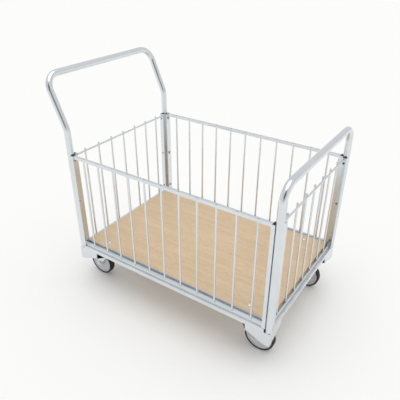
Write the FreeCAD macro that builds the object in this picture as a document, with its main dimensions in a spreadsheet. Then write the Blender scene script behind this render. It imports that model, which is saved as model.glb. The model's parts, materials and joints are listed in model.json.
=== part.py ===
import FreeCAD, Part
import math
import os
import re

import Sketcher

# Wire-sided platform cart: a plywood deck on a flat channel frame, four corner shoes that each
# carry a post and a castor, a tall push handle at the rear (-X), a low hoop at the front (+X),
# a wire grille on each side, two fixed castors in front and two swivel castors behind.
#
# Every sub-part is drawn about the middle of the deck (X along the cart, Y to its left, Z up from
# the floor). The part's own origin is the middle of its outline on the floor, which lies half the
# handle's lean behind the middle of the deck, so one shift along X places every sub-part.

SIZES = {
    # posts and bent tubes
    "post_spacing_x": (934.0, "rear posts to front posts, axis to axis"),
    "post_spacing_y": (620.0, "left posts to right posts, axis to axis"),
    "tube_diameter": (27.0, "outside of the post tube"),
    "tube_wall": (2.0, "wall of the post tube"),
    "tube_bend_radius": (60.0, "centre line of each bend in the two hoops"),
    "handle_height": (951.0, "axis of the push bar above the floor"),
    "handle_kink_height": (750.0, "where the rear posts start to lean back"),
    "handle_lean": (86.0, "how far the push bar lies behind the rear posts"),
    "hoop_height": (773.0, "axis of the front hoop's bar above the floor"),
    # frame and deck
    "frame_overhang_x": (11.0, "post axis to the frame's end face"),
    "frame_overhang_y": (14.0, "post axis to the frame's side face"),
    "frame_rise": (30.0, "castor's mounting face to the underside of the frame channel"),
    "frame_depth": (17.5, "height of the frame channel"),
    "frame_flange": (42.0, "width of the frame channel"),
    "frame_sheet": (3.0, "sheet of the frame channel and of the corner shoes"),
    "deck_thickness": (15.0, "plywood"),
    "deck_margin_x": (14.5, "post axis to the deck's end edge"),
    "deck_margin_y": (18.5, "post axis to the deck's side edge"),
    "deck_screw_inset": (94.0, "deck's end edge to its screws"),
    "deck_screw_inset_y": (33.5, "deck's side edge to its screws"),
    "deck_screw_hole": (6.5, "diameter of the deck's screw holes"),
    "edge_strip_gap": (1.5, "deck to the steel strip beside it"),
    "edge_strip_width": (3.0, "strip along each long edge of the deck"),
    "edge_strip_height": (15.0, "strip along each long edge of the deck"),
    "cross_member_width": (40.0, "box tube under the deck"),
    "cross_member_wall": (2.0, "box tube under the deck"),
    # corner shoes
    "shoe_reach": (100.0, "length of each wing from the corner"),
    "shoe_end_rise": (6.0, "castor's mounting face up to a wing's lower edge at its far end"),
    "shoe_tip_drop": (27.0, "castor's mounting face down to a wing's lower edge at the corner"),
    "shoe_tip_width": (22.0, "level part of a wing's lower edge"),
    "post_foot_rise": (32.0, "castor's mounting face to the foot of each post"),
    "post_seat_size": (24.0, "plate under each post's foot"),
    "hub_recess": (3.0, "depth of the hollow in each face of a wheel"),
    "weld_clearance": (0.2, "gap left for a weld between two pieces"),
    # grilles
    "grille_top_height": (644.0, "top of the long sides' upper rail above the floor"),
    "rail_size": (12.0, "square rail of the long sides"),
    "rail_offset": (2.0, "post axis to rail axis, outwards"),
    "rod_diameter": (8.0, "grille rod"),
    "rod_tip": (1.5, "how far a rod stands out of the rail above it"),
    "side_rod_pitch": (78.7, "rod to rod on the long sides"),
    "end_rod_pitch": (78.0, "rod to rod on the ends"),
    "upright_width": (25.0, "channel beside each post on the long sides"),
    "end_upright_width": (20.0, "channel beside each post on the ends"),
    "upright_depth": (14.0, "channel beside each post"),
    "upright_sheet": (2.0, "channel beside each post"),
    "upright_bolt_hole": (8.5, "diameter of the bolt holes in an upright"),
    "upright_bolt_inset": (23.0, "upright's end to its outer bolt"),
    "upright_reach": (3.0, "how far a long side's upright reaches past the post's flank"),
    "end_upright_reach": (2.0, "how far an end's upright reaches past the post's flank"),
    "end_bar_offset": (2.0, "post axis to the front grille's bars, inwards"),
    "end_bar_low": (7.5, "frame top to the lower bar's axis"),
    "end_bar_drop": (6.0, "top of the long sides' rail to the upper bar's axis"),
    "rod_overlap": (0.5, "how deep crossing rods are welded into each other"),
    # castors
    "castor_headroom": (33.0, "top of the wheel to the castor's mounting face"),
    "castor_inset_x": (66.0, "post axis to the castor plate's centre, along X"),
    "castor_inset_y": (80.0, "post axis to the castor plate's centre, along Y"),
    "castor_plate_x": (105.0, "length of the castor plate"),
    "castor_plate_y": (85.0, "width of the castor plate"),
    "castor_sheet": (3.0, "sheet of plate and fork"),
    "castor_hole_x": (80.0, "bolt spacing along X"),
    "castor_hole_y": (60.0, "bolt spacing along Y"),
    "castor_bolt_hole": (9.0, "diameter of the plate's bolt holes"),
    "castor_trail": (45.0, "swivel axis to wheel axis"),
    "wheel_diameter": (125.0, "over the tyre"),
    "tyre_width": (28.0, "tread"),
    "tyre_thickness": (7.5, "tread to rim"),
    "tyre_shoulder": (4.0, "radius of the tyre's shoulders"),
    "fork_clearance": (5.0, "tyre to fork leg"),
    "fork_foot_radius": (13.0, "rounding of a fork leg about the axle"),
    "fork_top_width": (72.0, "fork leg at its top, fixed castor"),
    "hub_clearance": (1.0, "hub barrel to fork leg"),
    "axle_diameter": (10.0, "axle bolt"),
    "axle_fit": (0.05, "radial clearance on the axle and on the king pin"),
    "race_radius": (30.0, "swivel bearing"),
    "race_height": (7.0, "swivel bearing"),
    "swivel_gap": (0.3, "upper race to fork"),
    "fork_crown": (6.0, "thickness of the swivel fork's crown"),
    "king_pin_diameter": (12.0, "swivel axis"),
}

# Heights above the floor that follow from the sizes, in the order in which they build on each other.
LEVELS = {
    "castor_height": ("wheel_diameter + castor_headroom", "castor's mounting face"),
    "frame_bottom_height": ("castor_height + frame_rise", "underside of the frame channel"),
    "shoe_end_height": ("castor_height + shoe_end_rise", "a wing's lower edge at its far end"),
    "shoe_tip_height": ("castor_height - shoe_tip_drop", "a wing's lower edge at the corner"),
    "post_foot_height": ("castor_height + post_foot_rise", "foot of each post"),
}

SIDE_RODS = 11
END_RODS = 7
UPRIGHT_BOLTS = 3

document = FreeCAD.newDocument("PlatformCart")
sheet = document.addObject("Spreadsheet::Sheet", "Sizes")
cells = [(name, str(value), meaning) for name, (value, meaning) in SIZES.items()]
cells += [(name, "=" + formula, meaning) for name, (formula, meaning) in LEVELS.items()]
for row, (name, content, meaning) in enumerate(cells, start=1):
    sheet.set(f"A{row}", meaning)
    sheet.set(f"B{row}", content)
    sheet.setAlias(f"B{row}", name)
document.recompute()

PIECES = []
NAMES = re.compile(r"\b(" + "|".join([*SIZES, *LEVELS]) + r")\b")

# Levels and places that several pieces share, as expressions on the sheet.
FRAME_TOP = "(frame_bottom_height + frame_depth)"
DECK_TOP = f"({FRAME_TOP} + deck_thickness)"
POST_X = "(post_spacing_x / 2)"
POST_Y = "(post_spacing_y / 2)"
FACE_X = f"({POST_X} + frame_overhang_x)"
FACE_Y = f"({POST_Y} + frame_overhang_y)"
INNER_X = f"({FACE_X} - frame_flange)"
INNER_Y = f"({FACE_Y} - frame_flange)"
DECK_X = f"({POST_X} - deck_margin_x)"
DECK_Y = f"({POST_Y} - deck_margin_y)"
RAIL_Y = f"({POST_Y} + rail_offset)"
SHOE_PLATE_TOP = "(castor_height + frame_sheet)"
CASTOR_X = f"({POST_X} - castor_inset_x)"
CASTOR_Y = f"({POST_Y} - castor_inset_y)"
TUBE_RADIUS = "(tube_diameter / 2)"
WHEEL_RADIUS = "(wheel_diameter / 2)"
LEG_INSIDE = "(tyre_width / 2 + fork_clearance)"
LEG_OUTSIDE = f"({LEG_INSIDE} + castor_sheet)"
CLEAR = "weld_clearance"


def bound(expression):
    """The same expression with every size name pointing at its cell."""
    return NAMES.sub(r"Sizes.\1", expression)


def number(expression):
    """The expression's present value as a plain number."""
    value = sheet.evalExpression(bound(expression))
    return float(getattr(value, "Value", value))


def bind(thing, **properties):
    """Bind properties to the sheet. In a name, two underscores stand for a dot."""
    for name, expression in properties.items():
        thing.setExpression(name.replace("__", "."), bound(expression))


def finish(piece, label):
    """Name a finished sub-part, move it to the part's own frame and list it for export."""
    piece.Label = label
    bind(piece, Placement__Base__x="handle_lean / 2")
    PIECES.append(piece)


def new_body(label):
    return document.addObject("PartDesign::Body", label + "_body")


def new_sketch(body, plane, offset="0"):
    """A sketch on one of the body's own origin planes, moved along the plane's normal."""
    sketch = body.newObject("Sketcher::SketchObject", "outline")
    origin_plane = [f for f in body.Origin.OriginFeatures if f.Role == plane][0]
    sketch.AttachmentSupport = [(origin_plane, "")]
    sketch.MapMode = "FlatFace"
    bind(sketch, AttachmentOffset__Base__z=offset)
    return sketch


def pin_point(sketch, geometry, end, across, up):
    """Dimension one end of a sketch element from the origin, both ways."""
    for kind, expression in (("DistanceX", across), ("DistanceY", up)):
        value = number(expression)
        index = sketch.addConstraint(Sketcher.Constraint(kind, -1, 1, geometry, end, value))
        sketch.setExpression(f"Constraints[{index}]", bound(expression))


def polygon(sketch, points):
    """A closed outline through points given as pairs of expressions."""
    values = [FreeCAD.Vector(number(across), number(up), 0) for across, up in points]
    first = len(sketch.Geometry)
    count = len(points)
    for index in range(count):
        line = Part.LineSegment(values[index], values[(index + 1) % count])
        sketch.addGeometry(line, False)
    for index in range(count):
        here = first + index
        after = first + (index + 1) % count
        sketch.addConstraint(Sketcher.Constraint("Coincident", here, 2, after, 1))
        pin_point(sketch, here, 1, *points[index])


def circle(sketch, across, up, diameter):
    """A circle given by expressions for its centre and diameter."""
    centre = FreeCAD.Vector(number(across), number(up), 0)
    shape = Part.Circle(centre, FreeCAD.Vector(0, 0, 1), number(diameter) / 2)
    index = sketch.addGeometry(shape, False)
    pin_point(sketch, index, 3, across, up)
    size = sketch.addConstraint(Sketcher.Constraint("Diameter", index, number(diameter)))
    sketch.setExpression(f"Constraints[{size}]", bound(diameter))


def rectangle(sketch, low_across, low_up, high_across, high_up):
    polygon(sketch, [(low_across, low_up), (high_across, low_up),
                     (high_across, high_up), (low_across, high_up)])


def pad(body, sketch, length, midplane=False, reverse=False):
    feature = body.newObject("PartDesign::Pad", "pad")
    feature.Profile = sketch
    feature.Midplane = midplane
    feature.Reversed = reverse
    bind(feature, Length=length)
    return feature


def cut(body, sketch):
    """Cut a sketch right through the body, both ways along the sketch's normal."""
    before = body.Shape.Volume
    feature = body.newObject("PartDesign::Pocket", "cut")
    feature.Profile = sketch
    feature.Type = 1
    feature.Midplane = True
    document.recompute()
    if feature.Shape.Volume > before - 1e-3:
        raise RuntimeError(f"{body.Label}: a cut removed nothing")
    return feature


def turn(body, sketch, axis="V_Axis"):
    feature = body.newObject("PartDesign::Revolution", "turning")
    feature.Profile = sketch
    feature.ReferenceAxis = (sketch, [axis])
    feature.Angle = 360.0
    return feature


def drill(body, sketch, depth, reverse=False):
    """Pocket a sketch to a given depth."""
    before = body.Shape.Volume
    feature = body.newObject("PartDesign::Pocket", "drill")
    feature.Profile = sketch
    feature.Reversed = reverse
    bind(feature, Length=depth)
    document.recompute()
    if feature.Shape.Volume > before - 1e-3:
        raise RuntimeError(f"{body.Label}: a pocket removed nothing")
    return feature


def box(name, low, high):
    """A Part::Box between two corners given as triples of expressions."""
    piece = document.addObject("Part::Box", name)
    bind(piece, Length=f"({high[0]}) - ({low[0]})", Width=f"({high[1]}) - ({low[1]})",
         Height=f"({high[2]}) - ({low[2]})")
    bind(piece, Placement__Base__x=low[0], Placement__Base__y=low[1],
         Placement__Base__z=low[2])
    return piece


# ---------------------------------------------------------------- deck and frame

def deck_board():
    body = new_body("deck_board")
    outline = new_sketch(body, "XY_Plane", FRAME_TOP)
    rectangle(outline, f"-{DECK_X}", f"-{DECK_Y}", DECK_X, DECK_Y)
    pad(body, outline, "deck_thickness")
    document.recompute()
    holes = new_sketch(body, "XY_Plane")
    for sign_x in (-1, 1):
        for sign_y in (-1, 1):
            circle(holes, f"{sign_x} * ({DECK_X} - deck_screw_inset)",
                   f"{sign_y} * ({DECK_Y} - deck_screw_inset_y)", "deck_screw_hole")
    cut(body, holes)
    finish(body, "deck_board")


def channel_outline(sketch, side, face, inner):
    """Section of a frame channel: web outside, two flanges pointing inwards."""
    low = "frame_bottom_height"
    web = f"({face} - frame_sheet)"
    corners = [(face, low), (face, FRAME_TOP), (inner, FRAME_TOP),
               (inner, f"{FRAME_TOP} - frame_sheet"), (web, f"{FRAME_TOP} - frame_sheet"),
               (web, f"{low} + frame_sheet"), (inner, f"{low} + frame_sheet"), (inner, low)]
    polygon(sketch, [(f"{side} * {across}", up) for across, up in corners])


def frame_side(label, side):
    """Channel along one long side, mitred to the end channels and cut back for the shoes."""
    body = new_body(label)
    section = new_sketch(body, "YZ_Plane")
    channel_outline(section, side, FACE_Y, INNER_Y)
    pad(body, section, f"2 * ({POST_X} - {TUBE_RADIUS} - {CLEAR})", midplane=True)
    document.recompute()
    end = f"({POST_X} - {TUBE_RADIUS})"
    slope = f"({end} - {INNER_X})"
    mitre = new_sketch(body, "XY_Plane")
    for sign in (-1, 1):
        polygon(mitre, [(f"{sign} * ({INNER_X} - {CLEAR} - 1)", f"{side} * ({INNER_Y} - 1)"),
                        (f"{sign} * ({end} - {CLEAR})", f"{side} * ({INNER_Y} + {slope})"),
                        (f"{sign} * ({end} + 5)", f"{side} * ({INNER_Y} + {slope})"),
                        (f"{sign} * ({end} + 5)", f"{side} * ({INNER_Y} - 1)")])
    cut(body, mitre)
    relief = new_sketch(body, "XZ_Plane", f"-1 * {side} * {FACE_Y}")
    for sign in (-1, 1):
        rectangle(relief, f"{sign} * ({FACE_X} - shoe_reach - {CLEAR})",
                  "frame_bottom_height - 1",
                  f"{sign} * {FACE_X}", f"{FRAME_TOP} - frame_sheet")
    drill(body, relief, f"frame_sheet + {CLEAR}", reverse=side > 0)
    finish(body, label)


def frame_end(label, side):
    """Channel across one end, between the mitres, cut back for the shoes."""
    body = new_body(label)
    section = new_sketch(body, "XZ_Plane")
    channel_outline(section, side, FACE_X, INNER_X)
    pad(body, section, f"2 * ({POST_Y} - {TUBE_RADIUS} - {CLEAR})", midplane=True)
    document.recompute()
    end = f"({POST_Y} - {TUBE_RADIUS})"
    slope = f"({end} - {INNER_Y})"
    mitre = new_sketch(body, "XY_Plane")
    for sign in (-1, 1):
        polygon(mitre, [(f"{side} * ({INNER_X} - 1)", f"{sign} * ({INNER_Y} - {CLEAR} - 1)"),
                        (f"{side} * ({INNER_X} + {slope})", f"{sign} * ({end} - {CLEAR})"),
                        (f"{side} * ({INNER_X} + {slope})", f"{sign} * ({end} + 5)"),
                        (f"{side} * ({INNER_X} - 1)", f"{sign} * ({end} + 5)")])
    cut(body, mitre)
    relief = new_sketch(body, "YZ_Plane", f"{side} * {FACE_X}")
    for sign in (-1, 1):
        rectangle(relief, f"{sign} * ({FACE_Y} - shoe_reach - {CLEAR})",
                  "frame_bottom_height - 1",
                  f"{sign} * {FACE_Y}", f"{FRAME_TOP} - frame_sheet")
    drill(body, relief, f"frame_sheet + {CLEAR}", reverse=side < 0)
    finish(body, label)


def edge_strip(label, side):
    """Flat steel strip on edge beside one long edge of the deck."""
    body = new_body(label)
    outline = new_sketch(body, "XY_Plane", FRAME_TOP)
    inside = f"({DECK_Y} + edge_strip_gap)"
    rectangle(outline, f"-{DECK_X}", f"{side} * {inside}",
              DECK_X, f"{side} * ({inside} + edge_strip_width)")
    pad(body, outline, "edge_strip_height")
    finish(body, label)


def cross_member(label, centre, bottom):
    """Box tube across the cart under the deck, from one side channel to the other."""
    body = new_body(label)
    section = new_sketch(body, "XZ_Plane")
    half = "cross_member_width / 2"
    wall = "cross_member_wall"
    rectangle(section, f"{centre} - {half}", bottom, f"{centre} + {half}", FRAME_TOP)
    rectangle(section, f"{centre} - {half} + {wall}", f"{bottom} + {wall}",
              f"{centre} + {half} - {wall}", f"{FRAME_TOP} - {wall}")
    pad(body, section, f"2 * ({INNER_Y} - {CLEAR})", midplane=True)
    finish(body, label)


# ---------------------------------------------------------------- corner shoes

def wing_outline(sketch, sign, face, post):
    """Side view of one wing, with a notch at the corner where the post comes down."""
    notch = f"({post} - {TUBE_RADIUS} - {CLEAR})"
    far = f"({face} - shoe_reach)"
    top = f"{FRAME_TOP} - frame_sheet"
    corners = [(far, top), (far, "shoe_end_height"),
               (f"{face} - shoe_tip_width", "shoe_tip_height"), (face, "shoe_tip_height"),
               (face, "post_foot_height"), (notch, "post_foot_height"), (notch, top)]
    polygon(sketch, [(f"{sign} * ({across})", up) for across, up in corners])


def corner_shoe(label, sign_x, sign_y):
    """Pressed corner: two wings, a seat for the post and a plate that takes the castor."""
    body = new_body(label)
    side_wing = new_sketch(body, "XZ_Plane", f"-1 * {sign_y} * {FACE_Y}")
    wing_outline(side_wing, sign_x, FACE_X, POST_X)
    pad(body, side_wing, "frame_sheet", reverse=sign_y < 0)
    end_wing = new_sketch(body, "YZ_Plane", f"{sign_x} * {FACE_X}")
    wing_outline(end_wing, sign_y, FACE_Y, POST_Y)
    pad(body, end_wing, "frame_sheet", reverse=sign_x > 0)
    seat = new_sketch(body, "XY_Plane", "post_foot_height")
    rectangle(seat, f"{sign_x} * ({FACE_X} - post_seat_size)",
              f"{sign_y} * ({FACE_Y} - post_seat_size - frame_sheet)",
              f"{sign_x} * {FACE_X}", f"{sign_y} * {FACE_Y}")
    pad(body, seat, "frame_sheet", reverse=True)
    plate = new_sketch(body, "XY_Plane", "castor_height")
    near_x = f"({CASTOR_X} - castor_plate_x / 2 - 5)"
    near_y = f"({CASTOR_Y} - castor_plate_y / 2 - 5)"
    wing_x = f"({FACE_X} - shoe_reach)"
    wing_y = f"({FACE_Y} - shoe_reach)"
    outline = [(FACE_X, FACE_Y), (wing_x, FACE_Y),
               (near_x, f"{FACE_Y} - ({wing_x} - {near_x})"), (near_x, near_y),
               (f"{FACE_X} - ({wing_y} - {near_y})", near_y), (FACE_X, wing_y)]
    polygon(plate, [(f"{sign_x} * ({across})", f"{sign_y} * ({up})") for across, up in outline])
    pad(body, plate, "frame_sheet")
    document.recompute()
    holes = new_sketch(body, "XY_Plane")
    castor_holes(holes, f"{sign_x} * {CASTOR_X}", f"{sign_y} * {CASTOR_Y}")
    cut(body, holes)
    finish(body, label)


def castor_holes(sketch, centre_x, centre_y):
    for step_x in (-0.5, 0.5):
        for step_y in (-0.5, 0.5):
            circle(sketch, f"{centre_x} + {step_x} * castor_hole_x",
                   f"{centre_y} + {step_y} * castor_hole_y", "castor_bolt_hole")


# ---------------------------------------------------------------- bent tubes

def rounded_path(points, radius):
    """Wire through the points, with every inner corner rounded by an arc."""
    edges = []
    start = points[0]
    for index in range(1, len(points) - 1):
        corner = points[index]
        back = (points[index - 1] - corner).normalize()
        ahead = (points[index + 1] - corner).normalize()
        half = back.getAngle(ahead) / 2
        run = radius / math.tan(half)
        first = corner + back * run
        last = corner + ahead * run
        middle_way = (back + ahead).normalize()
        centre = corner + middle_way * (radius / math.sin(half))
        middle = centre - middle_way * radius
        edges.append(Part.LineSegment(start, first).toShape())
        edges.append(Part.Arc(first, middle, last).toShape())
        start = last
    edges.append(Part.LineSegment(start, points[-1]).toShape())
    return Part.Wire(edges)


def tube_along(path, radius, wall):
    """Hollow tube swept along the path from its first point."""
    start = path.Vertexes[0].Point
    outside = Part.Wire([Part.makeCircle(radius, start, FreeCAD.Vector(0, 0, 1))])
    inside = Part.Wire([Part.makeCircle(radius - wall, start, FreeCAD.Vector(0, 0, 1))])
    return path.makePipeShell([outside], True, True).cut(
        path.makePipeShell([inside], True, True))


def bent_tube(label, points):
    """Both bent tubes leave the sketches' planes, so their shapes are set directly."""
    piece = document.addObject("Part::Feature", label)
    path = rounded_path(points, number("tube_bend_radius"))
    piece.Shape = tube_along(path, number(TUBE_RADIUS), number("tube_wall"))
    finish(piece, label)


def push_handle():
    post_x, post_y = -number(POST_X), number(POST_Y)
    foot, kink = number("post_foot_height"), number("handle_kink_height")
    bar_x, bar = post_x - number("handle_lean"), number("handle_height")
    half = [FreeCAD.Vector(post_x, -post_y, foot), FreeCAD.Vector(post_x, -post_y, kink),
            FreeCAD.Vector(bar_x, -post_y, bar)]
    other = [FreeCAD.Vector(point.x, -point.y, point.z) for point in reversed(half)]
    bent_tube("push_handle", half + other)


def front_hoop():
    post_x, post_y = number(POST_X), number(POST_Y)
    foot, bar = number("post_foot_height"), number("hoop_height")
    half = [FreeCAD.Vector(post_x, -post_y, foot), FreeCAD.Vector(post_x, -post_y, bar)]
    other = [FreeCAD.Vector(point.x, -point.y, point.z) for point in reversed(half)]
    bent_tube("front_hoop", half + other)


# ---------------------------------------------------------------- grilles

def spread(count, pitch):
    """Expressions for evenly spaced places about zero."""
    return [f"{index - (count - 1) / 2} * {pitch}" for index in range(count)]


def round_bar(name, start, length, direction, diameter="rod_diameter"):
    """A Part::Cylinder from a start point along X, Y or Z."""
    bar = document.addObject("Part::Cylinder", name)
    turns = {"X": FreeCAD.Rotation(FreeCAD.Vector(0, 1, 0), 90),
             "Y": FreeCAD.Rotation(FreeCAD.Vector(1, 0, 0), -90),
             "Z": FreeCAD.Rotation()}
    bar.Placement = FreeCAD.Placement(FreeCAD.Vector(), turns[direction])
    bind(bar, Radius=f"{diameter} / 2", Height=length, Placement__Base__x=start[0],
         Placement__Base__y=start[1], Placement__Base__z=start[2])
    return bar


def bolt_levels():
    """Heights of the bolts in every upright."""
    low = f"({FRAME_TOP} + 1.6 * upright_bolt_inset)"
    high = "(grille_top_height - upright_bolt_inset)"
    return [f"{low} + ({high} - {low}) * {index / (UPRIGHT_BOLTS - 1)}"
            for index in range(UPRIGHT_BOLTS)]


def upright(name, along, centre_x, centre_y, towards):
    """Channel that stands beside a post with its open side to it, drilled for the bolts.

    along is the axis from the post to the channel, X or Y, and towards is the sign of the
    direction from the channel to the post.
    """
    width = "upright_width" if along == "X" else "end_upright_width"
    depth, sheet_size = "upright_depth", "upright_sheet"
    outer = {"X": (depth, width), "Y": (width, depth)}[along]
    shell = box(name + "_shell", (f"{centre_x} - {outer[0]} / 2", f"{centre_y} - {outer[1]} / 2",
                                  FRAME_TOP),
                (f"{centre_x} + {outer[0]} / 2", f"{centre_y} + {outer[1]} / 2",
                 "grille_top_height"))
    low_x, high_x = f"{centre_x} - {outer[0]} / 2", f"{centre_x} + {outer[0]} / 2"
    low_y, high_y = f"{centre_y} - {outer[1]} / 2", f"{centre_y} + {outer[1]} / 2"
    if along == "X":
        low_y, high_y = f"{low_y} + {sheet_size}", f"{high_y} - {sheet_size}"
        low_x = f"{low_x} + {sheet_size}" if towards > 0 else f"{low_x} - 1"
        high_x = f"{high_x} + 1" if towards > 0 else f"{high_x} - {sheet_size}"
    else:
        low_x, high_x = f"{low_x} + {sheet_size}", f"{high_x} - {sheet_size}"
        low_y = f"{low_y} + {sheet_size}" if towards > 0 else f"{low_y} - 1"
        high_y = f"{high_y} + 1" if towards > 0 else f"{high_y} - {sheet_size}"
    room = box(name + "_room", (low_x, low_y, f"{FRAME_TOP} - 1"),
               (high_x, high_y, "grille_top_height + 1"))
    drills = []
    for index, level in enumerate(bolt_levels()):
        start = {"X": (f"{centre_x} - {depth}", centre_y, level),
                 "Y": (centre_x, f"{centre_y} - {depth}", level)}[along]
        drills.append(round_bar(f"{name}_drill_{index}", start, f"2 * {depth}", along,
                                "upright_bolt_hole"))
    tools = document.addObject("Part::MultiFuse", name + "_tools")
    tools.Shapes = [room] + drills
    channel = document.addObject("Part::Cut", name)
    channel.Base = shell
    channel.Tool = tools
    return channel


def side_grille(label, side):
    """Two square rails, a channel at each end and the rods between, welded into one."""
    centre = f"{side} * {RAIL_Y}"
    inner_post = f"({POST_X} - {TUBE_RADIUS} + upright_reach)"
    inside = f"({inner_post} - upright_depth)"
    pieces = []
    for level, bottom in (("low", FRAME_TOP), ("high", "(grille_top_height - rail_size)")):
        rail = box(f"{label}_{level}_rail", (f"-{inside}", f"{centre} - rail_size / 2", bottom),
                   (inside, f"{centre} + rail_size / 2", f"{bottom} + rail_size"))
        pieces.append(rail)
    for sign in (-1, 1):
        pieces.append(upright(f"{label}_upright_{'front' if sign > 0 else 'rear'}", "X",
                              f"{sign} * ({inside} + upright_depth / 2)",
                              f"{side} * {POST_Y}", sign))
    for index, place in enumerate(spread(SIDE_RODS, "side_rod_pitch")):
        start = (place, centre, f"{FRAME_TOP} + rail_size / 2")
        length = f"grille_top_height + rod_tip - ({FRAME_TOP} + rail_size / 2)"
        pieces.append(round_bar(f"{label}_rod_{index}", start, length, "Z"))
    grille = document.addObject("Part::MultiFuse", label)
    grille.Shapes = pieces
    finish(grille, label)


def end_grille(label, bars_x, rods_x):
    """Two round bars, a channel at each end and the rods behind the bars, welded into one."""
    inner_post = f"({POST_Y} - {TUBE_RADIUS} + end_upright_reach)"
    inside = f"({inner_post} - upright_depth)"
    low = f"({FRAME_TOP} + end_bar_low)"
    high = "(grille_top_height - end_bar_drop)"
    sign_x = 1 if number(bars_x) > 0 else -1
    pieces = []
    for level, height in (("low", low), ("high", high)):
        pieces.append(round_bar(f"{label}_{level}_bar", (bars_x, f"-{inside} - 0.5", height),
                                f"2 * {inside} + 1", "Y"))
    for sign in (-1, 1):
        pieces.append(upright(f"{label}_upright_{'left' if sign > 0 else 'right'}", "Y",
                              f"{sign_x} * {POST_X}",
                              f"{sign} * ({inside} + upright_depth / 2)", sign))
    for index, place in enumerate(spread(END_RODS, "end_rod_pitch")):
        start = (rods_x, place, f"{low} - rod_diameter / 2")
        length = f"grille_top_height + rod_tip - {low} + rod_diameter / 2"
        pieces.append(round_bar(f"{label}_rod_{index}", start, length, "Z"))
    grille = document.addObject("Part::MultiFuse", label)
    grille.Shapes = pieces
    finish(grille, label)


# ---------------------------------------------------------------- castors

def plate_with_holes(body, centre_x, centre_y):
    """The castor's mounting plate, whose top face meets the corner shoe."""
    plate = new_sketch(body, "XY_Plane", "castor_height")
    rectangle(plate, f"{centre_x} - castor_plate_x / 2", f"{centre_y} - castor_plate_y / 2",
              f"{centre_x} + castor_plate_x / 2", f"{centre_y} + castor_plate_y / 2")
    pad(body, plate, "castor_sheet", reverse=True)
    document.recompute()
    holes = new_sketch(body, "XY_Plane")
    castor_holes(holes, centre_x, centre_y)
    cut(body, holes)


def leg_outline(sketch, rear_top, front_top, top, axle_x):
    """Side view of a fork leg, narrowing from its top to a round foot about the axle."""
    foot = "fork_foot_radius"
    lower = f"{WHEEL_RADIUS} - 0.55 * {foot}"
    polygon(sketch, [(rear_top, top), (f"{axle_x} - {foot}", f"{WHEEL_RADIUS} + 0.4 * {foot}"),
                     (f"{axle_x} - {foot}", lower),
                     (f"{axle_x} - 0.5 * {foot}", f"{WHEEL_RADIUS} - {foot}"),
                     (f"{axle_x} + 0.5 * {foot}", f"{WHEEL_RADIUS} - {foot}"),
                     (f"{axle_x} + {foot}", lower),
                     (f"{axle_x} + {foot}", f"{WHEEL_RADIUS} + 0.4 * {foot}"),
                     (front_top, top)])


def fork_legs(body, centre_y, rear_top, front_top, top, axle_x):
    """Two legs either side of the wheel, drilled for the axle."""
    for sign in (-1, 1):
        inside = f"({centre_y} + {sign} * {LEG_INSIDE})"
        leg = new_sketch(body, "XZ_Plane", f"-1 * {inside}")
        leg_outline(leg, rear_top, front_top, top, axle_x)
        pad(body, leg, "castor_sheet", reverse=sign > 0)
    document.recompute()
    bore = new_sketch(body, "XZ_Plane")
    circle(bore, axle_x, WHEEL_RADIUS, "axle_diameter + 2 * axle_fit")
    cut(body, bore)


def fixed_fork(label, centre_x, centre_y):
    body = new_body(label)
    plate_with_holes(body, centre_x, centre_y)
    top = "castor_height - castor_sheet"
    fork_legs(body, centre_y, f"{centre_x} - fork_top_width / 2",
              f"{centre_x} + fork_top_width / 2", top, centre_x)
    finish(body, label)


def swivel_plate(label, centre_x, centre_y):
    """Mounting plate with the upper race, the king pin and its head below the fork's crown."""
    body = new_body(label)
    plate_with_holes(body, centre_x, centre_y)
    race_bottom = "(castor_height - castor_sheet - race_height)"
    race = new_sketch(body, "XY_Plane", race_bottom)
    circle(race, centre_x, centre_y, "2 * race_radius")
    pad(body, race, "race_height")
    crown_bottom = f"({race_bottom} - swivel_gap - fork_crown)"
    pin = new_sketch(body, "XY_Plane", f"{crown_bottom} - swivel_gap")
    circle(pin, centre_x, centre_y, "king_pin_diameter")
    pad(body, pin, "fork_crown + 2 * swivel_gap")
    head = new_sketch(body, "XY_Plane", f"{crown_bottom} - swivel_gap")
    circle(head, centre_x, centre_y, "1.7 * king_pin_diameter")
    pad(body, head, "king_pin_diameter / 2", reverse=True)
    finish(body, label)


def swivel_fork(label, centre_x, centre_y):
    body = new_body(label)
    top = "(castor_height - castor_sheet - race_height - swivel_gap)"
    crown = new_sketch(body, "XY_Plane", top)
    rectangle(crown, f"{centre_x} - 1.3 * race_radius", f"{centre_y} - {LEG_OUTSIDE}",
              f"{centre_x} + race_radius", f"{centre_y} + {LEG_OUTSIDE}")
    circle(crown, centre_x, centre_y, "king_pin_diameter + 2 * axle_fit")
    pad(body, crown, "fork_crown", reverse=True)
    fork_legs(body, centre_y, f"{centre_x} - 1.3 * race_radius", f"{centre_x} + race_radius",
              top, f"{centre_x} - castor_trail")
    finish(body, label)


def axle(label, axle_x, centre_y):
    """Axle bolt with a head at one end and a nut at the other."""
    body = new_body(label)
    bolt = new_sketch(body, "XZ_Plane", f"-1 * {centre_y}")
    circle(bolt, axle_x, WHEEL_RADIUS, "axle_diameter")
    pad(body, bolt, f"2 * {LEG_OUTSIDE} + axle_diameter * 1.2", midplane=True)
    for sign in (-1, 1):
        end = new_sketch(body, "XZ_Plane", f"-1 * ({centre_y} + {sign} * {LEG_OUTSIDE})")
        hexagon(end, axle_x, WHEEL_RADIUS, "0.98 * axle_diameter")
        pad(body, end, "axle_diameter * 0.55", reverse=sign > 0)
    finish(body, label)


def hexagon(sketch, across, up, radius):
    """Six-sided outline for a nut or a bolt's head."""
    corners = []
    for index in range(6):
        angle = math.radians(60 * index)
        corners.append((f"{across} + {round(math.cos(angle), 6)} * {radius}",
                        f"{up} + {round(math.sin(angle), 6)} * {radius}"))
    polygon(sketch, corners)


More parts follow.
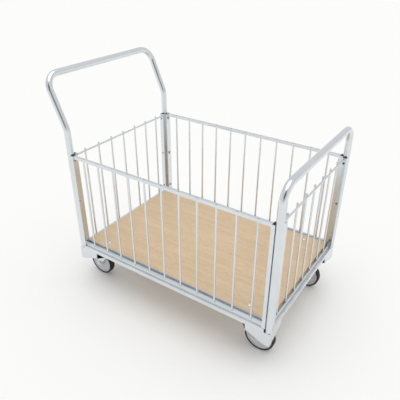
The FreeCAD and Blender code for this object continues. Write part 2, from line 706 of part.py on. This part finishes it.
def wheel_hub(label, axle_x, centre_y):
    bore = "(axle_diameter / 2 + axle_fit)"
    rim = f"({WHEEL_RADIUS} - tyre_thickness)"
    barrel_half = f"({LEG_INSIDE} - hub_clearance)"
    rim_half = "(tyre_width / 2 - 1)"
    half = [(bore, barrel_half), ("1.3 * axle_diameter", barrel_half),
            ("1.5 * axle_diameter", f"{rim_half} - hub_recess"), (f"{rim} - 10", f"{rim_half} - hub_recess"),
            (f"{rim} - 8", rim_half), (f"{rim} - 5", rim_half), (f"{rim} - 4", f"{rim_half} - 1.5"),
            (rim, f"{rim_half} - 1.5")]
    revolve_about_axle(label, axle_x, centre_y, half)


def wheel_tyre(label, axle_x, centre_y):
    rim = f"({WHEEL_RADIUS} - tyre_thickness)"
    half_width = "(tyre_width / 2)"
    half = [(rim, f"{half_width} - 1"), (f"{rim} + 1", half_width),
            (f"{WHEEL_RADIUS} - tyre_shoulder", half_width),
            (f"{WHEEL_RADIUS} - 0.3 * tyre_shoulder", f"{half_width} - 0.3 * tyre_shoulder"),
            (WHEEL_RADIUS, f"{half_width} - tyre_shoulder")]
    revolve_about_axle(label, axle_x, centre_y, half)


def revolve_about_axle(label, axle_x, centre_y, half):
    """Turn a section that is the same on both sides of the wheel's middle plane."""
    body = new_body(label)
    section = new_sketch(body, "YZ_Plane", axle_x)
    other = [(radius, f"-1 * ({across})") for radius, across in reversed(half)]
    outline = [(f"{centre_y} + {across}", f"{WHEEL_RADIUS} + {radius}")
               for radius, across in half + other]
    polygon(section, outline)
    line = Part.LineSegment(FreeCAD.Vector(number(centre_y) - 20, number(WHEEL_RADIUS), 0),
                            FreeCAD.Vector(number(centre_y) + 20, number(WHEEL_RADIUS), 0))
    index = section.addGeometry(line, True)
    pin_point(section, index, 1, f"{centre_y} - 20", WHEEL_RADIUS)
    pin_point(section, index, 2, f"{centre_y} + 20", WHEEL_RADIUS)
    turn(body, section, "Axis0")
    finish(body, label)


def castor(name, centre_x, centre_y, swivels):
    if swivels:
        swivel_plate(f"{name}_plate", centre_x, centre_y)
        swivel_fork(f"{name}_fork", centre_x, centre_y)
        axle_x = f"({centre_x} - castor_trail)"
    else:
        fixed_fork(f"{name}_fork", centre_x, centre_y)
        axle_x = centre_x
    axle(f"{name}_axle", axle_x, centre_y)
    wheel_hub(f"{name}_hub", axle_x, centre_y)
    wheel_tyre(f"{name}_tyre", axle_x, centre_y)


# ---------------------------------------------------------------- the whole cart

def build():
    deck_board()
    for side_name, side in (("left", 1), ("right", -1)):
        frame_side(f"frame_side_{side_name}", side)
        edge_strip(f"deck_edge_strip_{side_name}", side)
        side_grille(f"side_grille_{side_name}", side)
    for end_name, side in (("front", 1), ("rear", -1)):
        frame_end(f"frame_end_{end_name}", side)
        cross_member(f"cross_member_{end_name}", f"{side} * {CASTOR_X}", SHOE_PLATE_TOP)
    cross_member("cross_member_middle", "0", "frame_bottom_height")
    bars = f"({POST_X} - end_bar_offset)"
    behind = "(rod_diameter - rod_overlap)"
    end_grille("end_grille_front", bars, f"({bars} - {behind})")
    end_grille("end_grille_rear", f"-({bars} - {behind})", f"-{bars}")
    push_handle()
    front_hoop()
    for end_name, sign_x in (("front", 1), ("rear", -1)):
        for side_name, sign_y in (("left", 1), ("right", -1)):
            corner_shoe(f"corner_shoe_{end_name}_{side_name}", sign_x, sign_y)
            castor(f"castor_{end_name}_{side_name}", f"({sign_x} * {CASTOR_X})",
                   f"({sign_y} * {CASTOR_Y})", swivels=sign_x < 0)


def check():
    """Stop if any object failed or any sub-part has no sound shape."""
    document.recompute()
    for thing in document.Objects:
        if "Invalid" in thing.State or "Error" in thing.State:
            raise RuntimeError(f"{thing.Name} ({thing.Label}) failed: {thing.State}")
    for piece in PIECES:
        if piece.Shape.isNull() or not piece.Shape.isValid() or not piece.Shape.Solids:
            raise RuntimeError(f"{piece.Label} has no sound solid")


def export():
    os.makedirs("parts", exist_ok=True)
    for piece in PIECES:
        piece.Shape.exportStep(os.path.join("parts", piece.Label + ".step"))
        print(piece.Label, len(piece.Shape.Solids), round(piece.Shape.Volume))


build()
check()
export()
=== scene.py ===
import json
import math
import random

import bpy
from bpy.props import FloatProperty, PointerProperty
from bpy.types import Operator, Panel, PropertyGroup
from mathutils import Matrix, Vector


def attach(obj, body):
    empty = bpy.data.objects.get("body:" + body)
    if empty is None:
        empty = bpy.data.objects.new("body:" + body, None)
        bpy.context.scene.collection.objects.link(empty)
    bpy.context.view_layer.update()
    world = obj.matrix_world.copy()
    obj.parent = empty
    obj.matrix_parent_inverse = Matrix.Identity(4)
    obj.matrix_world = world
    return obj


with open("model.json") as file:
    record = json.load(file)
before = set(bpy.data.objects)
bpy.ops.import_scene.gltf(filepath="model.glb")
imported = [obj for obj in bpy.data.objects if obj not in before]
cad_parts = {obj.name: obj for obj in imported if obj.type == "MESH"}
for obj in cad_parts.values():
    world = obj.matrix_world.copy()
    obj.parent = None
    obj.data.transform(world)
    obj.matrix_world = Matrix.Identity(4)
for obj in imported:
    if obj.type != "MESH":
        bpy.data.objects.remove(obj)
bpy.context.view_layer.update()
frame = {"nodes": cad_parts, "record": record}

bl_info = {
    "name": "Platform cart",
    "version": (1, 0, 0),
    "blender": (4, 5, 0),
    "location": "View3D > Sidebar > Cart",
    "description": "Finishes, fasteners and welds for the platform cart",
    "category": "Object",
}

DECK_CENTRE_X = 0.043          # the middle of the deck, from the middle of the outline
POST_Y = 0.310
DECK_TOP = 0.2205
DECK_SCREW_X = 0.3585          # from the middle of the deck
DECK_SCREW_Y = 0.258
DECK_SCREW_RADIUS = 0.0075
DECK_SCREW_HEIGHT = 0.0028
FRAME_TOP = 0.2055
RAIL_TOP = 0.644
RAIL_Y = 0.312
RAIL_SIZE = 0.012
SIDE_RODS = 11
SIDE_ROD_PITCH = 0.0787
END_ROD_COUNT = 7
END_ROD_PITCH = 0.078
END_BAR_LEVELS = (0.213, 0.638)
ROD_WELD_INNER = 0.0039        # just inside the rod's surface
ROD_WELD_HEIGHT = 0.0022
UPRIGHT_INNER_X = 0.4425       # inner face of the uprights on the long sides
BOLT_LEVELS = (0.2423, 0.43165, 0.621)
CASTOR_X = 0.401
CASTOR_Y = 0.230
CASTOR_TRAIL = 0.045           # king pin to axle, on the rear castors
WHEEL_HEIGHT = 0.0625
CASTOR_BOLT_X = 0.04
CASTOR_BOLT_Y = 0.03
CASTOR_BOLT_RADIUS = 0.0072
CASTOR_BOLT_HEIGHT = 0.004
CASTOR_PLATE_UNDERSIDE = 0.155
END_BARS = {"front": 0.465, "rear": -0.4575}
END_RODS = {"front": 0.4575, "rear": -0.465}
CAMERA_PLACE = (0.9596, -1.4192, 1.4085)
CAMERA_LENS = 40.82            # millimetres, on a 36 mm sensor
CAMERA_YAW = 123.99            # degrees
CAMERA_DOWN = 29.99
CAMERA_ROLL = 0.17
FLOOR_HALF = 12.0
SIDES = {"left": 1, "right": -1}
ENDS = {"front": 1, "rear": -1}


class CartSizes(PropertyGroup):
    """Sizes of the small pieces that the solids leave out."""
    bolt_radius: FloatProperty(name="Bolt head radius", description="Across the corners, in metres",
                               default=0.0072)
    weld_radius: FloatProperty(name="Weld radius", description="Outer radius of a rod's weld, in metres",
                               default=0.0062)


# ---------------------------------------------------------------- materials

def colour(hex_text):
    """An sRGB hex colour as linear red, green, blue and alpha."""
    parts = [int(hex_text[i:i + 2], 16) / 255 for i in (0, 2, 4)]
    linear = [c / 12.92 if c <= 0.04045 else ((c + 0.055) / 1.055) ** 2.4 for c in parts]
    return (*linear, 1.0)


def add(tree, kind, settings=None, **links):
    """Add a node, set its properties or inputs, and link its inputs by name."""
    node = tree.nodes.new(kind)
    for name, value in (settings or {}).items():
        if name in node.inputs:
            node.inputs[name].default_value = value
        else:
            setattr(node, name, value)
    for name, source in links.items():
        key = int(name[1:]) if name[1:].isdigit() else name.replace("_", " ")
        tree.links.new(source, node.inputs[key])
    return node


def new_material(name):
    material = bpy.data.materials.new(name)
    material.use_nodes = True
    material.node_tree.nodes.clear()
    return material, material.node_tree


def surface(tree, shader):
    add(tree, "ShaderNodeOutputMaterial", Surface=shader.outputs["BSDF"])


def ramp(tree, factor, stops):
    node = add(tree, "ShaderNodeValToRGB", Fac=factor)
    elements = node.color_ramp.elements
    while len(elements) < len(stops):
        elements.new(0.5)
    for element, (place, hex_text) in zip(elements, stops):
        element.position = place
        element.color = colour(hex_text)
    return node.outputs["Color"]


def zinc_plated_steel():
    """Bright zinc plating: a clean metal with faint clouds and a fine grain."""
    material, tree = new_material("zinc_plated_steel_bright")
    place = add(tree, "ShaderNodeTexCoord").outputs["Object"]
    clouds = add(tree, "ShaderNodeTexNoise", {"Scale": 14.0, "Detail": 4.0, "Roughness": 0.5},
                 Vector=place).outputs["Fac"]
    grain = add(tree, "ShaderNodeTexNoise", {"Scale": 900.0, "Detail": 2.0},
                Vector=place).outputs["Fac"]
    tint = ramp(tree, clouds, [(0.3, "D9DEE2"), (0.7, "E0E4E7")])
    rough = add(tree, "ShaderNodeMapRange", {"To Min": 0.22, "To Max": 0.28}, Value=clouds)
    bump = add(tree, "ShaderNodeBump", {"Strength": 0.02, "Distance": 0.0001}, Height=grain)
    shader = add(tree, "ShaderNodeBsdfPrincipled", {"Metallic": 1.0}, Base_Color=tint,
                 Roughness=rough.outputs["Result"], Normal=bump.outputs["Normal"])
    surface(tree, shader)
    return material


def beech_plywood():
    """Clear-lacquered beech plywood: long soft grain with short dark flecks along X."""
    material, tree = new_material("beech_plywood_lacquered")
    place = add(tree, "ShaderNodeTexCoord").outputs["Object"]
    long_grain = add(tree, "ShaderNodeMapping", {"Scale": (5.0, 42.0, 42.0)}, Vector=place)
    fleck_place = add(tree, "ShaderNodeMapping", {"Scale": (60.0, 700.0, 700.0)}, Vector=place)
    grain = add(tree, "ShaderNodeTexNoise", {"Scale": 1.0, "Detail": 7.0, "Roughness": 0.62,
                                             "Distortion": 0.5},
                Vector=long_grain.outputs["Vector"]).outputs["Fac"]
    fleck = add(tree, "ShaderNodeTexNoise", {"Scale": 1.0, "Detail": 1.0},
                Vector=fleck_place.outputs["Vector"]).outputs["Fac"]
    tint = ramp(tree, grain, [(0.25, "CEB493"), (0.5, "D5BC9B"), (0.75, "DCC6A7")])
    dark = ramp(tree, fleck, [(0.58, "FFFFFF"), (0.72, "D2B48E")])
    mixed = add(tree, "ShaderNodeMix", {"data_type": "RGBA", "blend_type": "MULTIPLY"})
    mixed.inputs[0].default_value = 0.6
    tree.links.new(tint, mixed.inputs[6])
    tree.links.new(dark, mixed.inputs[7])
    bump = add(tree, "ShaderNodeBump", {"Strength": 0.12, "Distance": 0.0004}, Height=grain)
    shader = add(tree, "ShaderNodeBsdfPrincipled", {"Roughness": 0.42}, Normal=bump.outputs["Normal"])
    tree.links.new(mixed.outputs[2], shader.inputs["Base Color"])
    surface(tree, shader)
    return material


def moulded(name, low, high, rough, bump_strength):
    """Moulded plastic or rubber with a fine even grain."""
    material, tree = new_material(name)
    place = add(tree, "ShaderNodeTexCoord").outputs["Object"]
    noise = add(tree, "ShaderNodeTexNoise", {"Scale": 700.0, "Detail": 3.0},
                Vector=place).outputs["Fac"]
    tint = ramp(tree, noise, [(0.35, low), (0.65, high)])
    bump = add(tree, "ShaderNodeBump", {"Strength": bump_strength, "Distance": 0.0003},
               Height=noise)
    shader = add(tree, "ShaderNodeBsdfPrincipled", {"Roughness": rough}, Base_Color=tint,
                 Normal=bump.outputs["Normal"])
    surface(tree, shader)
    return material


def make_materials():
    return {
        "zinc_plated_steel": zinc_plated_steel(),
        "deck_plywood": beech_plywood(),
        "wheel_centre": moulded("polypropylene_grey_moulded", "CDD0D2", "D6D9DB", 0.4, 0.1),
        "tyre_rubber": moulded("rubber_black_matte", "0C0C0D", "161617", 0.6, 0.3),
    }


# ---------------------------------------------------------------- mesh helpers

def turned(profile, segments, place, closed=False, wobble=0.0, seed=0):
    """Vertices and faces of a profile of (radius, height) turned about Z and then placed."""
    draw = random.Random(seed)
    verts, faces = [], []
    rings = []
    for radius, height in profile:
        if radius == 0:
            rings.append([len(verts)])
            verts.append(place @ Vector((0, 0, height)))
            continue
        rings.append(list(range(len(verts), len(verts) + segments)))
        for step in range(segments):
            angle = math.tau * step / segments
            size = radius * (1 + wobble * draw.uniform(-1, 1))
            verts.append(place @ Vector((size * math.cos(angle), size * math.sin(angle), height)))
    pairs = list(zip(rings, rings[1:]))
    if closed:
        pairs.append((rings[-1], rings[0]))
    for one, two in pairs:
        for step in range(segments):
            after = (step + 1) % segments
            if len(one) == 1:
                faces.append((one[0], two[after], two[step]))
            elif len(two) == 1:
                faces.append((one[step], one[after], two[0]))
            else:
                faces.append((one[step], one[after], two[after], two[step]))
    return verts, faces


def make_piece(name, parts, material, body, smooth=True):
    """One object from several lists of vertices and faces, riding a body."""
    verts, faces = [], []
    for part_verts, part_faces in parts:
        shift = len(verts)
        verts += [tuple(v) for v in part_verts]
        faces += [tuple(i + shift for i in face) for face in part_faces]
    mesh = bpy.data.meshes.new(name)
    mesh.from_pydata(verts, [], faces)
    mesh.validate()
    mesh.materials.append(material)
    if smooth:
        mesh.shade_smooth()
    else:
        mesh.shade_flat()
    piece = bpy.data.objects.new(name, mesh)
    bpy.context.scene.collection.objects.link(piece)
    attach(piece, body)
    return piece


def facing(point, direction):
    """A placement at a point whose Z axis runs along a direction."""
    turn = Vector(direction).to_track_quat("Z", "Y").to_matrix().to_4x4()
    return Matrix.Translation(Vector(point)) @ turn


def hex_head(point, direction, radius):
    """A washer and a chamfered six-sided head, seated at a point."""
    place = facing(point, direction)
    washer = turned([(0, 0), (1.25 * radius, 0), (1.25 * radius, 0.0011), (1.18 * radius, 0.0014),
                     (0, 0.0014)], 24, place)
    head = turned([(0, 0.001), (radius, 0.001), (radius, 0.0052), (0.86 * radius, 0.006),
                   (0, 0.006)], 6, place)
    return [washer, head]


def dome_head(point, direction, radius, height):
    """A low round head on a flange."""
    profile = [(0, -0.0005), (radius, -0.0005), (radius, 0.25 * height), (0.82 * radius, 0.7 * height),
               (0.5 * radius, 0.94 * height), (0, height)]
    return turned(profile, 24, facing(point, direction))


def weld_ring(point, direction, inner, outer, height, seed):
    """A small uneven fillet round a rod."""
    profile = [(inner, -0.0002), (outer, -0.0002), (0.84 * outer, 0.45 * height), (inner, height)]
    return turned(profile, 18, facing(point, direction), closed=True, wobble=0.04, seed=seed)


# ---------------------------------------------------------------- operators

MATERIALS = {}


class CART_OT_finishes(Operator):
    """Give every solid its finish."""
    bl_idname = "cart.finishes"
    bl_label = "Finishes"

    def execute(self, context):
        MATERIALS.update(make_materials())
        slots = {entry["node"]: entry["material_slot"] for entry in frame["record"]["subparts"]}
        for name, solid in frame["nodes"].items():
            solid.data.materials.clear()
            solid.data.materials.append(MATERIALS[slots[name]])
        return {"FINISHED"}


class CART_OT_fasteners(Operator):
    """Bolts in the long sides' uprights, screws in the deck and bolts under the castor plates."""
    bl_idname = "cart.fasteners"
    bl_label = "Fasteners"

    def execute(self, context):
        radius = context.scene.cart_sizes.bolt_radius
        steel = MATERIALS["zinc_plated_steel"]
        uprights, screws, plates = [], [], []
        for end in ENDS.values():
            for side in SIDES.values():
                for level in BOLT_LEVELS:
                    uprights += hex_head((end * UPRIGHT_INNER_X + DECK_CENTRE_X, side * POST_Y, level),
                                         (-end, 0, 0), radius)
                screws.append(dome_head((end * DECK_SCREW_X + DECK_CENTRE_X,
                                         side * DECK_SCREW_Y, DECK_TOP),
                                        (0, 0, 1), DECK_SCREW_RADIUS, DECK_SCREW_HEIGHT))
                for step_x in (-CASTOR_BOLT_X, CASTOR_BOLT_X):
                    for step_y in (-CASTOR_BOLT_Y, CASTOR_BOLT_Y):
                        point = (end * CASTOR_X + step_x + DECK_CENTRE_X,
                                 side * CASTOR_Y + step_y, CASTOR_PLATE_UNDERSIDE)
                        plates.append(dome_head(point, (0, 0, -1), CASTOR_BOLT_RADIUS,
                                                CASTOR_BOLT_HEIGHT))
        make_piece("upright_bolts", uprights, steel, "cart", smooth=False)
        make_piece("deck_screws", screws, steel, "cart")
        make_piece("castor_bolts", plates, steel, "cart")
        return {"FINISHED"}


class CART_OT_welds(Operator):
    """Small welds where the rods meet the rails and the bars."""
    bl_idname = "cart.welds"
    bl_label = "Welds"

    def execute(self, context):
        outer = context.scene.cart_sizes.weld_radius
        steel = MATERIALS["zinc_plated_steel"]
        for name, side in SIDES.items():
            rings = []
            for index in range(SIDE_RODS):
                x = (index - SIDE_RODS // 2) * SIDE_ROD_PITCH + DECK_CENTRE_X
                for level, up, seed in ((FRAME_TOP + RAIL_SIZE, 1, index),
                                        (RAIL_TOP - RAIL_SIZE, -1, 20 + index)):
                    rings.append(weld_ring((x, side * RAIL_Y, level), (0, 0, up), ROD_WELD_INNER,
                                           outer * 0.93, ROD_WELD_HEIGHT, seed))
            make_piece(f"rod_welds_{name}", rings, steel, "cart")
        for name, end in ENDS.items():
            rings = []
            for index in range(END_ROD_COUNT):
                y = (index - END_ROD_COUNT // 2) * END_ROD_PITCH
                middle = (END_BARS[name] + END_RODS[name]) / 2 + DECK_CENTRE_X
                for level in END_BAR_LEVELS:
                    rings.append(turned([(0, -0.0028), (0.0034, -0.0022), (0.0042, 0),
                                         (0.0034, 0.0022), (0, 0.0028)], 14,
                                        facing((middle, y, level), (0, 1, 0)), wobble=0.05,
                                        seed=40 + index))
            make_piece(f"rod_welds_{name}", rings, steel, "cart")
        return {"FINISHED"}


class CART_OT_wheel_details(Operator):
    """Moulded ribs on each wheel centre and a parting line on each tyre."""
    bl_idname = "cart.wheel_details"
    bl_label = "Wheel details"

    def execute(self, context):
        for end_name, end in ENDS.items():
            for side_name, side in SIDES.items():
                trail = CASTOR_TRAIL if end < 0 else 0.0
                centre = (end * CASTOR_X - trail + DECK_CENTRE_X, side * CASTOR_Y, WHEEL_HEIGHT)
                body = f"wheel_{end_name}_{side_name}"
                ribs, lines = [], []
                for face in (-1, 1):
                    place = facing(centre, (0, face, 0))
                    ribs.append(turned([(0.0280, 0.0095), (0.0300, 0.0095), (0.0298, 0.0112),
                                        (0.0282, 0.0112)], 48, place, closed=True))
                    lines.append(turned([(0.0572, 0.0135), (0.0580, 0.0135), (0.0579, 0.01395),
                                         (0.0573, 0.01395)], 64, place, closed=True))
                make_piece(f"hub_ribs_{end_name}_{side_name}", ribs, MATERIALS["wheel_centre"],
                           body)
                make_piece(f"tyre_lines_{end_name}_{side_name}", lines, MATERIALS["tyre_rubber"],
                           body)
        return {"FINISHED"}


def soft_sun(name, direction, strength, angle):
    """Even light from a wide patch of sky, along a direction."""
    light = bpy.data.lights.new(name, "SUN")
    light.energy = strength
    light.angle = math.radians(angle)
    lamp = bpy.data.objects.new(name, light)
    lamp.rotation_euler = Vector(direction).to_track_quat("-Z", "Y").to_euler()
    bpy.context.scene.collection.objects.link(lamp)


def make_world():
    """White to the camera. To the object it is a white room with one dark patch."""
    world = bpy.data.worlds.new("studio")
    world.use_nodes = True
    tree = world.node_tree
    tree.nodes.clear()
    place = add(tree, "ShaderNodeTexCoord").outputs["Generated"]
    towards = add(tree, "ShaderNodeVectorMath", {"operation": "DOT_PRODUCT"}, _0=place)
    towards.inputs[1].default_value = (0.484, -0.718, 0.500)
    patch = add(tree, "ShaderNodeMapRange", {"From Min": 0.84, "From Max": 0.98, "To Min": 0.79,
                                             "To Max": 0.06}, Value=towards.outputs["Value"])
    seen = add(tree, "ShaderNodeLightPath").outputs["Is Camera Ray"]
    level = add(tree, "ShaderNodeMath", {"operation": "MAXIMUM"}, _0=patch.outputs["Result"],
                _1=seen)
    glow = add(tree, "ShaderNodeBackground", {"Color": (1, 1, 1, 1)},
               Strength=level.outputs["Value"])
    add(tree, "ShaderNodeOutputWorld", Surface=glow.outputs["Background"])
    bpy.context.scene.world = world


def make_floor():
    """A pale floor that keeps the soft shadow and runs into the white room."""
    material, tree = new_material("floor_white_matte")
    matte = add(tree, "ShaderNodeBsdfDiffuse", {"Color": (0.86, 0.86, 0.85, 1)})
    lift = add(tree, "ShaderNodeEmission", {"Color": (1, 1, 1, 1), "Strength": 0.08})
    both = tree.nodes.new("ShaderNodeAddShader")
    tree.links.new(matte.outputs["BSDF"], both.inputs[0])
    tree.links.new(lift.outputs["Emission"], both.inputs[1])
    add(tree, "ShaderNodeOutputMaterial", Surface=both.outputs["Shader"])
    mesh = bpy.data.meshes.new("floor")
    corners = [(-1, -1), (1, -1), (1, 1), (-1, 1)]
    mesh.from_pydata([(x * FLOOR_HALF, y * FLOOR_HALF, 0) for x, y in corners],
                     [], [(0, 1, 2, 3)])
    mesh.materials.append(material)
    floor = bpy.data.objects.new("floor", mesh)
    bpy.context.scene.collection.objects.link(floor)


def make_camera():
    camera = bpy.data.cameras.new("camera")
    camera.lens = CAMERA_LENS
    camera.sensor_width = 36.0
    camera.clip_end = 60.0
    eye = bpy.data.objects.new("camera", camera)
    yaw, down, roll = (math.radians(a) for a in (CAMERA_YAW, CAMERA_DOWN, CAMERA_ROLL))
    ahead = Vector((math.cos(yaw) * math.cos(down), math.sin(yaw) * math.cos(down),
                    -math.sin(down)))
    turn = ahead.to_track_quat("-Z", "Y").to_matrix().to_4x4() @ Matrix.Rotation(roll, 4, "Z")
    eye.matrix_world = Matrix.Translation(CAMERA_PLACE) @ turn
    bpy.context.scene.collection.objects.link(eye)
    bpy.context.scene.camera = eye


class CART_OT_stage(Operator):
    """Floor, world, lamp, camera and render settings."""
    bl_idname = "cart.stage"
    bl_label = "Stage"

    def execute(self, context):
        scene = context.scene
        make_world()
        make_floor()
        make_camera()
        soft_sun("overhead", (-0.08, 0.05, -1.0), 1.0, 55.0)
        scene.render.engine = "CYCLES"
        scene.cycles.samples = 160
        scene.cycles.use_denoising = True
        scene.render.resolution_x = 400
        scene.render.resolution_y = 400
        scene.view_settings.view_transform = "Standard"
        return {"FINISHED"}


class CART_PT_panel(Panel):
    """Buttons that build the cart's finishes and small pieces."""
    bl_idname = "CART_PT_panel"
    bl_label = "Platform cart"
    bl_space_type = "VIEW_3D"
    bl_region_type = "UI"
    bl_category = "Cart"

    def draw(self, context):
        sizes = context.scene.cart_sizes
        for name in ("bolt_radius", "weld_radius"):
            self.layout.prop(sizes, name)
        for step in STEPS:
            self.layout.operator(step.bl_idname)


STEPS = (CART_OT_finishes, CART_OT_fasteners, CART_OT_welds, CART_OT_wheel_details, CART_OT_stage)


def register():
    for part in (CartSizes, *STEPS, CART_PT_panel):
        bpy.utils.register_class(part)
    bpy.types.Scene.cart_sizes = PointerProperty(type=CartSizes)


def unregister():
    del bpy.types.Scene.cart_sizes
    for part in reversed((CartSizes, *STEPS, CART_PT_panel)):
        bpy.utils.unregister_class(part)


def main():
    register()
    bpy.ops.cart.finishes()
    bpy.ops.cart.fasteners()
    bpy.ops.cart.welds()
    bpy.ops.cart.wheel_details()
    bpy.ops.cart.stage()


if __name__ == "__main__":
    main()
